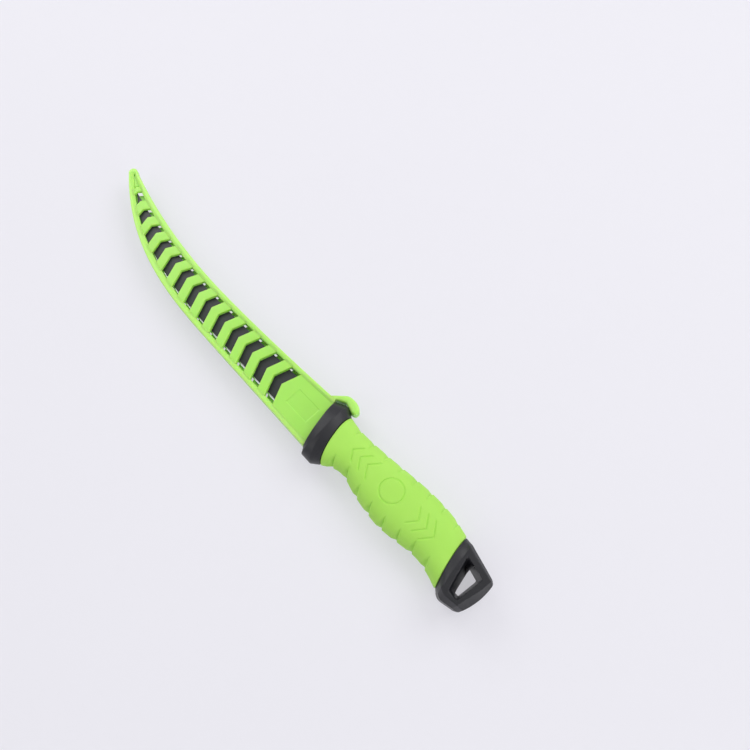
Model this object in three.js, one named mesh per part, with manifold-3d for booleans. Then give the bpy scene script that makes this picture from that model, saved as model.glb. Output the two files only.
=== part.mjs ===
// Fillet knife with a moulded handle, in its slotted clip-on sheath, lying on its side.
// Millimetres, +Z up. In the working frame +X runs from the sheath's nose to the butt, +Y points
// to the spine side, X = 0 is the ridge of the bolster and Z = 0 is the mid-plane of the blade.

import * as THREE from 'three';
import { mergeVertices } from 'three/addons/utils/BufferGeometryUtils.js';
import Module from 'manifold-3d';

const wasm = await Module();
wasm.setup();

// Clearance between pieces that seat on each other
const SEAT_GAP = 0.3;

// Bolster: a raked collar with a front chamfer, a ridge and a rear chamfer
const BOLSTER_NOSE = 4.8;             // front face ahead of the ridge, on the axis
const BOLSTER_TAIL = 8.7;             // rear face behind the ridge, on the axis
const BOLSTER_SPINE = 20.3;           // top of the ridge on the spine side
const BOLSTER_EDGE = 17.9;            // bottom of the ridge on the edge side
const BOLSTER_THICKNESS = 26;         // across the two flats that the knife lies on
const BOLSTER_RIDGE_FRONT = -1.2;     // where the front chamfer ends, on the axis
const BOLSTER_RIDGE_REAR = 3.9;       // where the rear chamfer starts, on the axis
const BOLSTER_FRONT_DROP = 2.9;       // how far the front face lies inside the ridge
const BOLSTER_FRONT_THIN = 1;         // the same on each flank
const BOLSTER_FRONT_RAKE = 0.218;     // leans, X per Y: of the front face and both sides of the ridge
const BOLSTER_RIDGE_FRONT_RAKE = 0.1;
const BOLSTER_RIDGE_REAR_RAKE = 0.2;
const BOLSTER_RIDGE_FRONT_BOW = -1.5; // the ridge narrows over the flanks
const BOLSTER_RIDGE_REAR_BOW = 2.4;
const BOLSTER_WALL = 3.2;             // material ahead of the socket for the core

// Grip: a soft sleeve between the bolster and the pommel
const GRIP_LENGTH = 94;
const GRIP_THICKNESS_FRONT = 23;
const GRIP_THICKNESS_NECK = 21.8;
const GRIP_THICKNESS_PALM = 24.4;
const GRIP_THICKNESS_REAR = 23.6;
const GRIP_RAKE = 0.23;               // lean of both ends of the grip, X per Y
const GRIP_BOW = 1.9;                 // how far both ends bow forward over the flanks
const GRIP_SPINE_FRONT = 17.6;        // heights of the back of the grip, front to rear
const GRIP_SPINE_NECK = 16.3;
const GRIP_SPINE_PALM = 21.2;
const GRIP_SPINE_REAR = 17.5;
const GRIP_EDGE_FRONT = 14.2;         // depths of the belly, front to rear
const GRIP_EDGE_FINGER = 8.8;
const GRIP_EDGE_PALM = 13.9;
const GRIP_EDGE_LITTLE_FINGER = 10.3;
const GRIP_EDGE_REAR = 14.2;

// Notches along the back and the belly of the grip
const NOTCH_COUNT = 8;
const NOTCH_PITCH = 10.9;
const NOTCH_SPINE_START = 10;
const NOTCH_EDGE_START = 7;
const NOTCH_DEPTH = 1.2;
const NOTCH_RAMP = 3;
const NOTCH_STEP = 0.6;
const NOTCH_REACH = 6;                // how far a notch runs in from the silhouette
const GRIP_STEP = 4.5;                // between the stations of the grip's plain stretches
const GRIP_LEAST_STEP = 0.05;         // stations closer than this are one

// Core: the hard bar under the grip that holds the tang
const CORE_HEIGHT = 16;
const CORE_THICKNESS = 13;
const CORE_AXIS = 3;                  // its height above the datum axis

// Pommel: the hard butt with a lanyard hole
const POMMEL_LENGTH = 23.4;
const POMMEL_THICKNESS = 26;
const POMMEL_SPINE_FRONT = 16.9;
const POMMEL_SPINE_REAR = 10.9;
const POMMEL_EDGE_FRONT = 13.6;
const POMMEL_EDGE_HEEL = 16.4;
const POMMEL_EDGE_REAR = 14.6;
const POMMEL_BULGE = 1.8;             // how far the butt is rounded in plan
const POMMEL_BUTT_RAKE = -0.1;        // lean of the butt, X per Y, against the grip's
const POMMEL_SOCKET = 3;              // how deep the core sits in it, on the axis
const POMMEL_END_CHAMFER = 4.2;       // how far the butt thins on each face
const POMMEL_END_ROUND = 1;           // how far it draws in on the spine and edge sides

// Lanyard hole: a three-sided hole that narrows to a waist at the mid-plane
const LANYARD_WALL = 7.2;             // from the butt to the waist
const LANYARD_WAIST_LENGTH = 7.5;
const LANYARD_WAIST_HEIGHT = 15;
const LANYARD_FLARE_FRONT = 5.8;      // how far the mouth opens past the waist
const LANYARD_FLARE_SIDE = 2.9;
const LANYARD_FLARE_REAR = 0.7;
const LANYARD_REAR_LEAN = 1.6;        // how far the rear side leans forward to the edge side
const LANYARD_FOOT = 2.7;             // length of the short side
const LANYARD_SHOULDER = 0.8;         // height of the rear corner as a share of the front one
const LANYARD_FOOT_FLARE = 0.6;       // share of the front flare that reaches the short side

// Blade: a slim trailing point, flat ground, with a tang
const BLADE_LENGTH = 198;             // heel to point along X
const BLADE_THICKNESS = 1.8;
const BLADE_TIP_THICKNESS = 0.9;
const BLADE_EDGE_THICKNESS = 0.12;
const BLADE_BEVEL = 1.3;              // height of the bright edge bevel
const BLADE_BEVEL_THICKNESS = 0.6;
const BLADE_TIP_HEIGHT = 18.3;
const BLADE_POINT = 0.3;              // height left at the blunted point
const BLADE_POINT_SETBACK = 0.4;      // how far the point is blunted back
const BLADE_STATIONS = 30;
const HEEL_SHARE = 0.25;              // share of the blade over which the raked heel squares up
const SPINE_LOW = 8;                  // lowest height of the hollow spine
const SPINE_LOW_FROM_HEEL = 107;
const SPINE_HEEL_RISE = 5.5;
const SPINE_HEEL_POWER = 1.6;         // how the hollow runs out towards the heel and the point
const SPINE_TIP_POWER = 2;
const EDGE_DEPTH = 8.6;
const EDGE_STRAIGHT = 80;             // straight stretch of the edge from the heel
const EDGE_POWER = 3;                 // how the edge sweeps up to the point
const TANG_LENGTH = 97;
const TANG_HEIGHT = 12.4;
const TANG_HOLE = 6;
const TANG_HOLES = 3;
const TANG_OVERLAP = 1.5;             // how far the tang's bar runs into the blade

// Sheath: a one-piece moulding, a rim round two slotted faces
const SHEATH_THICKNESS = 11;          // at the mouth
const SHEATH_NOSE_THICKNESS = 5.6;    // at the nose
const SHEATH_RIM = 2.4;
const SHEATH_RIM_ROUND = 1;
const SHEATH_PANEL_DROP = 1.5;        // faces below the rim
const SHEATH_CAVITY = 4.2;            // room for the blade between the faces, at the mouth
const SHEATH_NOSE = 10;               // beyond the point of the blade, to where the nose rounds off
const SHEATH_NOSE_WALL = 2.6;         // how much thicker the rim is round the nose
const SHEATH_STEPS = 40;              // along each side of the outline
const SHEATH_NOSE_STEPS = 8;          // round the nose
const SPINE_ROOM_MOUTH = 2.3;         // room beside the blade
const SPINE_ROOM_TIP = 3.4;
const EDGE_ROOM_MOUTH = 3.4;
const EDGE_ROOM_TIP = 1;
const NOSE_ROOM = 0.4;                // more room on both sides, at the point of the blade
const NOSE_ROOM_POWER = 10;           // how late along the blade it sets in

// Chevron windows in the sheath, alternating between its two faces
const WINDOW_COUNT = 14;              // on the upper face, one more than on the lower
const WINDOW_PITCH = 13;
const WINDOW_LENGTH = 7;
const NOSE_WINDOW_LENGTH = 10.8;      // the last one on the upper face, cut short by the nose
const WINDOW_START = 37;              // first window's middle from the mouth, on the upper face
const WINDOW_SWEEP_SPINE = 18;        // degrees back from square
const WINDOW_SWEEP_EDGE = 24;
const WINDOW_MARGIN = 0.9;            // panel left inside the rim

// Catch: the thumb tab that hooks over the bolster
const CATCH_WIDTH = 10.4;
const CATCH_ROOT = 3.6;               // length of its foot on the sheath
const CATCH_RISE = 5.6;               // above the bolster
const CATCH_ARM = 3;                  // thickness of the arm
const CATCH_HOOK = 1.2;               // how far the knob drops behind the ridge
const CATCH_REACH = 5.8;              // end of the knob behind the ridge
const CATCH_CLEAR = 0.6;              // room between the hook and the ridge
const CATCH_HEEL = 2.9;               // lowest point of the hook behind the ridge
const CATCH_TOE = 1.4;                // end of the knob above the ridge
const CATCH_CROWN = 4.6;              // fullness of the knob
const CATCH_KNEE = 1;                 // rounding inside the knee
const CATCH_BEND = 3.6;               // where the back of the arm bends, ahead of the knee
const CATCH_BEND_DROP = 1.9;          // and how far below the crest

const RING_POINTS = 36;
const OVAL_POWER = 2.4;
const BUTT_POWER = 3.6;
const FLAT_SHARE = 0.985;             // ovals are cut flat at this share of their half thickness

const MIX = THREE.MathUtils.lerp;

// Places worked out from the sizes

const bolsterFrontX = -BOLSTER_NOSE;
const heelX = bolsterFrontX - SEAT_GAP;
const tipX = heelX - BLADE_LENGTH;
const spineLowX = heelX - SPINE_LOW_FROM_HEEL;
const edgeBendX = heelX - EDGE_STRAIGHT;
const gripFrontX = BOLSTER_TAIL + SEAT_GAP;
const gripRearX = gripFrontX + GRIP_LENGTH;
const pommelFrontX = gripRearX + SEAT_GAP;
const buttX = pommelFrontX + POMMEL_LENGTH;
const coreLow = CORE_AXIS - CORE_HEIGHT / 2;
const socketX = bolsterFrontX - BOLSTER_FRONT_RAKE * coreLow + BOLSTER_WALL;
const pommelSocketX = pommelFrontX + POMMEL_SOCKET;
const noseX = tipX - SHEATH_NOSE;
const mouthX = bolsterFrontX - SEAT_GAP;

// Solids: closed meshes that can be joined and cut

function toSolid(geometry) {
  const bare = geometry.clone();
  bare.deleteAttribute('normal');
  bare.deleteAttribute('uv');
  const merged = mergeVertices(bare, 1e-4);
  const mesh = new wasm.Mesh({
    numProp: 3,
    vertProperties: new Float32Array(merged.attributes.position.array),
    triVerts: new Uint32Array(merged.index.array),
  });
  return new wasm.Manifold(mesh);
}

function toGeometry(solid) {
  const mesh = solid.getMesh();
  const geometry = new THREE.BufferGeometry();
  geometry.setAttribute('position', new THREE.BufferAttribute(mesh.vertProperties, 3));
  geometry.setIndex(new THREE.BufferAttribute(mesh.triVerts, 1));
  return geometry.toNonIndexed();
}

// A closed skin over rings of equal count, capped at both ends.
function loft(rings) {
  const count = rings[0].length;
  const points = rings.flat();
  const triangles = [];
  for (let r = 0; r + 1 < rings.length; r += 1) {
    for (let i = 0; i < count; i += 1) {
      const a = r * count + i;
      const b = r * count + (i + 1) % count;
      triangles.push(a, b, a + count, b, b + count, a + count);
    }
  }
  const addCap = (first, turned) => {
    const middle = new THREE.Vector3();
    for (let i = 0; i < count; i += 1) {
      middle.addScaledVector(points[first + i], 1 / count);
    }
    points.push(middle);
    for (let i = 0; i < count; i += 1) {
      const a = first + i;
      const b = first + (i + 1) % count;
      triangles.push(points.length - 1, turned ? b : a, turned ? a : b);
    }
  };
  addCap(0, true);
  addCap((rings.length - 1) * count, false);
  const geometry = new THREE.BufferGeometry().setFromPoints(points);
  geometry.setIndex(triangles);
  return geometry;
}

// One station of a handle piece: an oval between low and high, leaning with rake and bowed forward
// over the flanks. shrink(across) pulls a point in, with across from -1 at the edge to 1 at the spine.
function ovalRing({ x, low, high, half, rake = 0, bow = 0, bulge = 0, power = OVAL_POWER, shrink }) {
  const middle = (low + high) / 2;
  const reach = (high - low) / 2;
  const ring = [];
  for (let i = 0; i < RING_POINTS; i += 1) {
    const angle = (2 * Math.PI * i) / RING_POINTS;
    const across = Math.sign(Math.cos(angle)) * Math.abs(Math.cos(angle)) ** (2 / power);
    const up = Math.sign(Math.sin(angle)) * Math.abs(Math.sin(angle)) ** (2 / power);
    const flat = THREE.MathUtils.clamp(up, -FLAT_SHARE, FLAT_SHARE) / FLAT_SHARE;
    const inward = 1 - (shrink ? shrink(across) / reach : 0);
    const y = middle + reach * across * inward;
    const z = half * flat * inward;
    const lean = rake * y + bow * flat * flat + bulge * across * across;
    ring.push(new THREE.Vector3(x - lean, y, z));
  }
  return ring;
}

// A flat plate of an outline, standing either side of height z.
function plate(outline, thickness, z = 0) {
  const geometry = new THREE.ExtrudeGeometry(outline, { depth: thickness, bevelEnabled: false });
  geometry.translate(0, 0, z - thickness / 2);
  return geometry;
}

// A smooth run of heights through points of [share of the length, height].
function heights(points) {
  const curve = new THREE.SplineCurve(points.map(([share, height]) => new THREE.Vector2(share, height)));
  const samples = curve.getPoints(160);
  return (share) => {
    const next = Math.max(1, samples.findIndex((p) => p.x >= share));
    const a = samples[next - 1];
    const b = samples[next];
    return MIX(a.y, b.y, THREE.MathUtils.clamp((share - a.x) / (b.x - a.x), 0, 1));
  };
}

// The blade's spine and edge as heights over X

function spineHeight(x) {
  if (x > spineLowX) {
    return SPINE_LOW + SPINE_HEEL_RISE * ((x - spineLowX) / SPINE_LOW_FROM_HEEL) ** SPINE_HEEL_POWER;
  }
  const share = (spineLowX - x) / (spineLowX - tipX);
  return SPINE_LOW + (BLADE_TIP_HEIGHT - SPINE_LOW) * share ** SPINE_TIP_POWER;
}

function edgeHeight(x) {
  const share = Math.max(0, (edgeBendX - x) / (edgeBendX - tipX));
  return -EDGE_DEPTH + (BLADE_TIP_HEIGHT + EDGE_DEPTH) * share ** EDGE_POWER;
}

// A point beside a height curve, distance away square to it.
function beside(height, x, distance) {
  const slope = (height(x + 0.1) - height(x - 0.1)) / 0.2;
  const along = Math.hypot(1, slope);
  return new THREE.Vector2(x - (distance * slope) / along, height(x) + distance / along);
}

const towardsTip = (x) => (heelX - x) / BLADE_LENGTH;
const noseRoom = (x) => NOSE_ROOM * towardsTip(x) ** NOSE_ROOM_POWER;
const spineRoom = (x) => MIX(SPINE_ROOM_MOUTH, SPINE_ROOM_TIP, towardsTip(x)) + noseRoom(x);
const edgeRoom = (x) => MIX(EDGE_ROOM_MOUTH, EDGE_ROOM_TIP, towardsTip(x)) + noseRoom(x);
const sheathSpine = (x, wall) => beside(spineHeight, x, spineRoom(x) + wall);
const sheathEdge = (x, wall) => beside(edgeHeight, x, -edgeRoom(x) - wall);

// Blade and tang

function makeBlade() {
  const rings = [];
  for (let i = 0; i <= BLADE_STATIONS; i += 1) {
    const share = Math.sin((i / BLADE_STATIONS) * (Math.PI / 2));
    const x = MIX(heelX, tipX + BLADE_POINT_SETBACK, share);
    const edge = edgeHeight(x);
    const spine = Math.max(spineHeight(x), edge + BLADE_POINT);
    const shoulder = edge + Math.min(BLADE_BEVEL, (spine - edge) / 2);
    const half = MIX(BLADE_THICKNESS, BLADE_TIP_THICKNESS, share ** 2) / 2;
    const lean = BOLSTER_FRONT_RAKE * Math.max(0, 1 - share / HEEL_SHARE);
    const corner = (y, z) => new THREE.Vector3(x - lean * y, y, z);
    rings.push([
      corner(spine, half),
      corner(spine, -half),
      corner(shoulder, -BLADE_BEVEL_THICKNESS / 2),
      corner(edge, -BLADE_EDGE_THICKNESS / 2),
      corner(edge, BLADE_EDGE_THICKNESS / 2),
      corner(shoulder, BLADE_BEVEL_THICKNESS / 2),
    ]);
  }
  const low = CORE_AXIS - TANG_HEIGHT / 2;
  const high = CORE_AXIS + TANG_HEIGHT / 2;
  const endX = heelX + TANG_LENGTH;
  const rootX = heelX - TANG_OVERLAP;
  const outline = new THREE.Shape();
  outline.moveTo(rootX - BOLSTER_FRONT_RAKE * low, low);
  outline.lineTo(endX - TANG_HEIGHT / 2, low);
  outline.absarc(endX - TANG_HEIGHT / 2, CORE_AXIS, TANG_HEIGHT / 2, -Math.PI / 2, Math.PI / 2);
  outline.lineTo(rootX - BOLSTER_FRONT_RAKE * high, high);
  for (let i = 1; i <= TANG_HOLES; i += 1) {
    const hole = new THREE.Path();
    hole.absarc(heelX + (TANG_LENGTH * i) / (TANG_HOLES + 1), CORE_AXIS, TANG_HOLE / 2, 0, 2 * Math.PI);
    outline.holes.push(hole);
  }
  return toSolid(loft(rings)).add(toSolid(plate(outline, BLADE_THICKNESS)));
}

// Room for the tang inside the bolster and the core
function tangRoom(startX) {
  const outline = new THREE.Shape();
  const reach = TANG_HEIGHT / 2 + SEAT_GAP;
  const endX = heelX + TANG_LENGTH - TANG_HEIGHT / 2;
  outline.moveTo(startX, CORE_AXIS - reach);
  outline.lineTo(endX, CORE_AXIS - reach);
  outline.absarc(endX, CORE_AXIS, reach, -Math.PI / 2, Math.PI / 2);
  outline.lineTo(startX, CORE_AXIS + reach);
  return toSolid(plate(outline, BLADE_THICKNESS + 2 * SEAT_GAP));
}

// The core's bar, and with a clearance the room that other pieces leave for it
function coreBar(fromX, toX, clearance = 0) {
  const section = {
    low: CORE_AXIS - CORE_HEIGHT / 2 - clearance,
    high: CORE_AXIS + CORE_HEIGHT / 2 + clearance,
    half: CORE_THICKNESS / 2 + clearance,
  };
  return toSolid(loft([ovalRing({ x: fromX, ...section }), ovalRing({ x: toX, ...section })]));
}

function makeCore() {
  return coreBar(socketX + SEAT_GAP, pommelSocketX - SEAT_GAP).subtract(tangRoom(heelX));
}

function makeBolster() {
  const ridge = { low: -BOLSTER_EDGE, high: BOLSTER_SPINE, half: BOLSTER_THICKNESS / 2 };
  const rings = [
    ovalRing({
      x: bolsterFrontX,
      low: -BOLSTER_EDGE + BOLSTER_FRONT_DROP,
      high: BOLSTER_SPINE - BOLSTER_FRONT_DROP,
      half: BOLSTER_THICKNESS / 2 - BOLSTER_FRONT_THIN,
      rake: BOLSTER_FRONT_RAKE,
    }),
    ovalRing({
      x: BOLSTER_RIDGE_FRONT,
      ...ridge,
      rake: BOLSTER_RIDGE_FRONT_RAKE,
      bow: BOLSTER_RIDGE_FRONT_BOW,
    }),
    ovalRing({
      x: BOLSTER_RIDGE_REAR,
      ...ridge,
      rake: BOLSTER_RIDGE_REAR_RAKE,
      bow: BOLSTER_RIDGE_REAR_BOW,
    }),
    ovalRing({
      x: BOLSTER_TAIL,
      low: -GRIP_EDGE_FRONT,
      high: GRIP_SPINE_FRONT,
      half: GRIP_THICKNESS_FRONT / 2,
      rake: GRIP_RAKE,
      bow: GRIP_BOW,
    }),
  ];
  const socket = coreBar(socketX, gripRearX, SEAT_GAP);
  return toSolid(loft(rings)).subtract(socket).subtract(tangRoom(heelX - BOLSTER_NOSE * 2));
}

// Depth of the notches at one place along the grip: a ramp that ends in a step
function notchDepth(along, start) {
  const index = Math.round((along - start) / NOTCH_PITCH);
  if (index < 0 || index >= NOTCH_COUNT) {
    return 0;
  }
  const past = along - start - index * NOTCH_PITCH;
  const fall = past < 0 ? 1 + past / NOTCH_RAMP : 1 - past / NOTCH_STEP;
  return NOTCH_DEPTH * Math.max(0, fall);
}

function makeGrip() {
  const spine = heights([
    [0, GRIP_SPINE_FRONT],
    [0.12, GRIP_SPINE_NECK],
    [0.34, MIX(GRIP_SPINE_NECK, GRIP_SPINE_PALM, 0.3)],
    [0.56, MIX(GRIP_SPINE_NECK, GRIP_SPINE_PALM, 0.8)],
    [0.72, GRIP_SPINE_PALM],
    [0.87, MIX(GRIP_SPINE_PALM, GRIP_SPINE_REAR, 0.25)],
    [1, GRIP_SPINE_REAR],
  ]);
  const belly = heights([
    [0, -GRIP_EDGE_FRONT],
    [0.085, -MIX(GRIP_EDGE_FRONT, GRIP_EDGE_FINGER, 0.8)],
    [0.165, -GRIP_EDGE_FINGER],
    [0.3, -MIX(GRIP_EDGE_FINGER, GRIP_EDGE_PALM, 0.6)],
    [0.48, -GRIP_EDGE_PALM],
    [0.6, -MIX(GRIP_EDGE_PALM, GRIP_EDGE_LITTLE_FINGER, 0.25)],
    [0.79, -GRIP_EDGE_LITTLE_FINGER],
    [0.9, -MIX(GRIP_EDGE_LITTLE_FINGER, GRIP_EDGE_REAR, 0.25)],
    [1, -GRIP_EDGE_REAR],
  ]);
  const thickness = heights([
    [0, GRIP_THICKNESS_FRONT],
    [0.18, GRIP_THICKNESS_NECK],
    [0.55, GRIP_THICKNESS_PALM],
    [1, GRIP_THICKNESS_REAR],
  ]);
  const stops = [0, GRIP_LENGTH];
  for (let along = GRIP_STEP; along < GRIP_LENGTH; along += GRIP_STEP) {
    stops.push(along);
  }
  for (const start of [NOTCH_SPINE_START, NOTCH_EDGE_START]) {
    for (let i = 0; i < NOTCH_COUNT; i += 1) {
      const valley = start + i * NOTCH_PITCH;
      stops.push(valley - NOTCH_RAMP, valley, valley + NOTCH_STEP);
    }
  }
  const stations = stops.filter((along) => along >= 0 && along <= GRIP_LENGTH).sort((a, b) => a - b);
  const apart = stations.filter((along, i) => i === 0 || along - stations[i - 1] > GRIP_LEAST_STEP);
  const rings = apart.map((along) => {
    const share = along / GRIP_LENGTH;
    const low = belly(share);
    const high = spine(share);
    const reach = (high - low) / 2;
    const onSpine = notchDepth(along, NOTCH_SPINE_START);
    const onEdge = notchDepth(along, NOTCH_EDGE_START);
    const shrink = (across) => {
      const inside = (1 - Math.abs(across)) * reach;
      return (across > 0 ? onSpine : onEdge) * Math.max(0, 1 - inside / NOTCH_REACH);
    };
    return ovalRing({
      x: gripFrontX + along,
      low,
      high,
      half: thickness(share) / 2,
      rake: GRIP_RAKE,
      bow: GRIP_BOW,
      shrink,
    });
  });
  return toSolid(loft(rings)).subtract(coreBar(socketX, buttX, SEAT_GAP));
}

// Corners of the lanyard hole at the waist, opened by the flares towards a mouth
function lanyardCorners(open, z) {
  const rearX = buttX - LANYARD_WALL + LANYARD_FLARE_REAR * open;
  const frontX = buttX - LANYARD_WALL - LANYARD_WAIST_LENGTH - LANYARD_FLARE_FRONT * open;
  const footX = rearX - LANYARD_REAR_LEAN;
  const high = LANYARD_WAIST_HEIGHT / 2 + LANYARD_FLARE_SIDE * open;
  const corners = [
    [footX - LANYARD_FOOT - LANYARD_FLARE_FRONT * LANYARD_FOOT_FLARE * open, -high],
    [footX, -high],
    [rearX, high * LANYARD_SHOULDER],
    [frontX, high],
  ];
  return corners.map(([x, y]) => new THREE.Vector3(x, y, z));
}

function makePommel() {
  const half = POMMEL_THICKNESS / 2;
  const station = (share, low, high, thin, extra) =>
    ovalRing({ x: pommelFrontX + POMMEL_LENGTH * share, low: -low, high, half: half - thin, ...extra });
  const front = half - GRIP_THICKNESS_REAR / 2;
  const spineAt = (share) => MIX(POMMEL_SPINE_FRONT, POMMEL_SPINE_REAR, share);
  const endLow = POMMEL_EDGE_REAR - POMMEL_END_ROUND;
  const endHigh = POMMEL_SPINE_REAR - POMMEL_END_ROUND;
  const lean = (share) => ({
    rake: MIX(GRIP_RAKE, POMMEL_BUTT_RAKE, share),
    bow: GRIP_BOW * (1 - share),
    bulge: POMMEL_BULGE * share,
    power: MIX(OVAL_POWER, BUTT_POWER, Math.min(1, share * 3)),
  });
  const rings = [
    station(0, POMMEL_EDGE_FRONT, POMMEL_SPINE_FRONT, front, lean(0)),
    station(0.16, MIX(POMMEL_EDGE_FRONT, POMMEL_EDGE_HEEL, 0.5), spineAt(0.16), 0, lean(0.2)),
    station(0.38, POMMEL_EDGE_HEEL, spineAt(0.38), 0, lean(0.45)),
    station(0.78, MIX(POMMEL_EDGE_HEEL, POMMEL_EDGE_REAR, 0.75), spineAt(0.82), 0, lean(0.85)),
    station(0.92, POMMEL_EDGE_REAR, POMMEL_SPINE_REAR, POMMEL_END_CHAMFER * 0.45, lean(1)),
    station(1, endLow, endHigh, POMMEL_END_CHAMFER, lean(1)),
  ];
  const past = 1.2;
  const hole = loft([
    lanyardCorners(past, -half * past),
    lanyardCorners(0, 0),
    lanyardCorners(past, half * past),
  ]);
  return toSolid(loft(rings))
    .subtract(coreBar(gripFrontX, pommelSocketX, SEAT_GAP))
    .subtract(toSolid(hole));
}

// The sheath's outline, set in from its outside by inset and carried past the mouth
function sheathOutline(inset, past) {
  const wall = SHEATH_RIM - inset;
  const endX = noseX + inset * SHEATH_NOSE_WALL;
  const mouthAt = (side) => {
    let x = mouthX;
    for (let i = 0; i < 4; i += 1) {
      x = mouthX - BOLSTER_FRONT_RAKE * side(x, wall).y;
    }
    return x + past;
  };
  const run = (side) => {
    const points = [];
    const startX = mouthAt(side);
    for (let i = 0; i <= SHEATH_STEPS; i += 1) {
      points.push(side(MIX(startX, endX, i / SHEATH_STEPS), wall));
    }
    return points;
  };
  const spine = run(sheathSpine);
  const edge = run(sheathEdge).reverse();
  const from = spine[SHEATH_STEPS];
  const to = edge[0];
  const nose = [];
  const middle = from.clone().add(to).multiplyScalar(0.5);
  const radius = from.distanceTo(to) / 2;
  const startAngle = Math.atan2(from.y - middle.y, from.x - middle.x);
  for (let i = 1; i < SHEATH_NOSE_STEPS; i += 1) {
    const angle = startAngle + (Math.PI * i) / SHEATH_NOSE_STEPS;
    nose.push(new THREE.Vector2(middle.x + radius * Math.cos(angle), middle.y + radius * Math.sin(angle)));
  }
  return new THREE.Shape([...spine, ...nose, ...edge]);
}

// One chevron window, its point towards the nose, at a distance along the sheath from the mouth
function chevron(distance, length) {
  const x = mouthX - distance;
  const middle = (at) => sheathSpine(at, 0).add(sheathEdge(at, 0)).multiplyScalar(0.5);
  const centre = middle(x);
  const along = middle(x - 1).sub(centre).normalize();
  const across = new THREE.Vector2(-along.y, along.x).multiplyScalar(-1);
  const arm = BOLSTER_SPINE + BOLSTER_EDGE;
  const back = (degrees) => -arm * Math.tan(THREE.MathUtils.degToRad(degrees));
  const at = (forward, side) =>
    centre.clone().addScaledVector(along, forward).addScaledVector(across, side);
  const half = length / 2;
  const spineBack = back(WINDOW_SWEEP_SPINE);
  const edgeBack = back(WINDOW_SWEEP_EDGE);
  return new THREE.Shape([
    at(half, 0),
    at(half + edgeBack, -arm),
    at(-half + edgeBack, -arm),
    at(-half, 0),
    at(-half + spineBack, arm),
    at(half + spineBack, arm),
  ]);
}

// A solid of the sheath, drawn at the mouth's thickness and thinned evenly towards the nose.
function thinned(geometry) {
  const position = geometry.attributes.position;
  for (let i = 0; i < position.count; i += 1) {
    const share = (mouthX - position.getX(i)) / (mouthX - noseX);
    const scale = MIX(1, SHEATH_NOSE_THICKNESS / SHEATH_THICKNESS, share);
    position.setZ(i, position.getZ(i) * scale);
  }
  return toSolid(geometry);
}

function makeSheath() {
  const round = SHEATH_RIM_ROUND;
  const body = new THREE.ExtrudeGeometry(sheathOutline(0, 0), {
    depth: SHEATH_THICKNESS - 2 * round,
    bevelThickness: round,
    bevelSize: round,
    bevelOffset: -round,
    bevelSegments: 2,
  });
  body.translate(0, 0, -SHEATH_THICKNESS / 2 + round);
  const past = 2 * SHEATH_RIM;
  const inside = sheathOutline(SHEATH_RIM, past);
  const face = SHEATH_THICKNESS / 2 - SHEATH_PANEL_DROP;
  let solid = thinned(body).subtract(thinned(plate(inside, SHEATH_CAVITY)));
  const clip = sheathOutline(SHEATH_RIM + WINDOW_MARGIN, past);
  for (const side of [1, -1]) {
    const recess = plate(inside, SHEATH_THICKNESS, side * (face + SHEATH_THICKNESS / 2));
    solid = solid.subtract(thinned(recess));
    const room = toSolid(plate(clip, SHEATH_THICKNESS, (side * SHEATH_THICKNESS) / 2));
    const start = WINDOW_START + (side > 0 ? 0 : WINDOW_PITCH / 2);
    const count = side > 0 ? WINDOW_COUNT : WINDOW_COUNT - 1;
    for (let i = 0; i < count; i += 1) {
      const length = i === WINDOW_COUNT - 1 ? NOSE_WINDOW_LENGTH : WINDOW_LENGTH;
      const cutter = plate(chevron(start + i * WINDOW_PITCH, length), 2 * SHEATH_THICKNESS);
      solid = solid.subtract(toSolid(cutter).intersect(room));
    }
  }
  return solid;
}

function makeCatch() {
  const top = BOLSTER_SPINE;
  const ridgeRearX = BOLSTER_RIDGE_REAR - BOLSTER_RIDGE_REAR_RAKE * top;
  const kneeX = BOLSTER_RIDGE_FRONT - BOLSTER_RIDGE_FRONT_RAKE * top;
  const mouthCorner = mouthX - BOLSTER_FRONT_RAKE * (BOLSTER_SPINE - BOLSTER_FRONT_DROP);
  const footRear = sheathSpine(mouthCorner - SHEATH_RIM_ROUND, SHEATH_RIM + SEAT_GAP);
  const footFront = sheathSpine(mouthCorner - SHEATH_RIM_ROUND - CATCH_ROOT, SHEATH_RIM + SEAT_GAP);
  const knobX = ridgeRearX + CATCH_REACH;
  const crest = top + CATCH_RISE;
  const under = crest - CATCH_ARM;
  const low = top - CATCH_HOOK;
  const outline = new THREE.Shape();
  outline.moveTo(footFront.x, footFront.y);
  outline.lineTo(footRear.x, footRear.y);
  outline.lineTo(kneeX - CATCH_KNEE, under - CATCH_KNEE);
  outline.quadraticCurveTo(kneeX, under, kneeX + CATCH_KNEE, top + CATCH_CLEAR + CATCH_KNEE);
  outline.lineTo(ridgeRearX, top + CATCH_CLEAR);
  outline.lineTo(ridgeRearX + CATCH_HEEL, low);
  outline.quadraticCurveTo(knobX, low, knobX, top + CATCH_TOE);
  outline.bezierCurveTo(knobX, top + CATCH_CROWN, ridgeRearX, crest, kneeX, crest);
  outline.quadraticCurveTo(kneeX - CATCH_BEND / 2, crest, kneeX - CATCH_BEND, crest - CATCH_BEND_DROP);
  return toSolid(new THREE.ExtrudeGeometry(outline, {
    depth: CATCH_WIDTH,
    bevelEnabled: false,
    curveSegments: 6,
  }).translate(0, 0, -CATCH_WIDTH / 2));
}

// Finishes

const greenRubber = new THREE.MeshStandardMaterial({ color: '#b0e866', roughness: 0.65 });
const greenPlastic = new THREE.MeshStandardMaterial({ color: '#aae866', roughness: 0.4 });
const blackPlastic = new THREE.MeshStandardMaterial({ color: '#2b2c2d', roughness: 0.55 });
const coatedSteel = new THREE.MeshStandardMaterial({ color: '#3c3d40', roughness: 0.4, metalness: 0.4 });

const knife = new THREE.Group();

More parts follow.
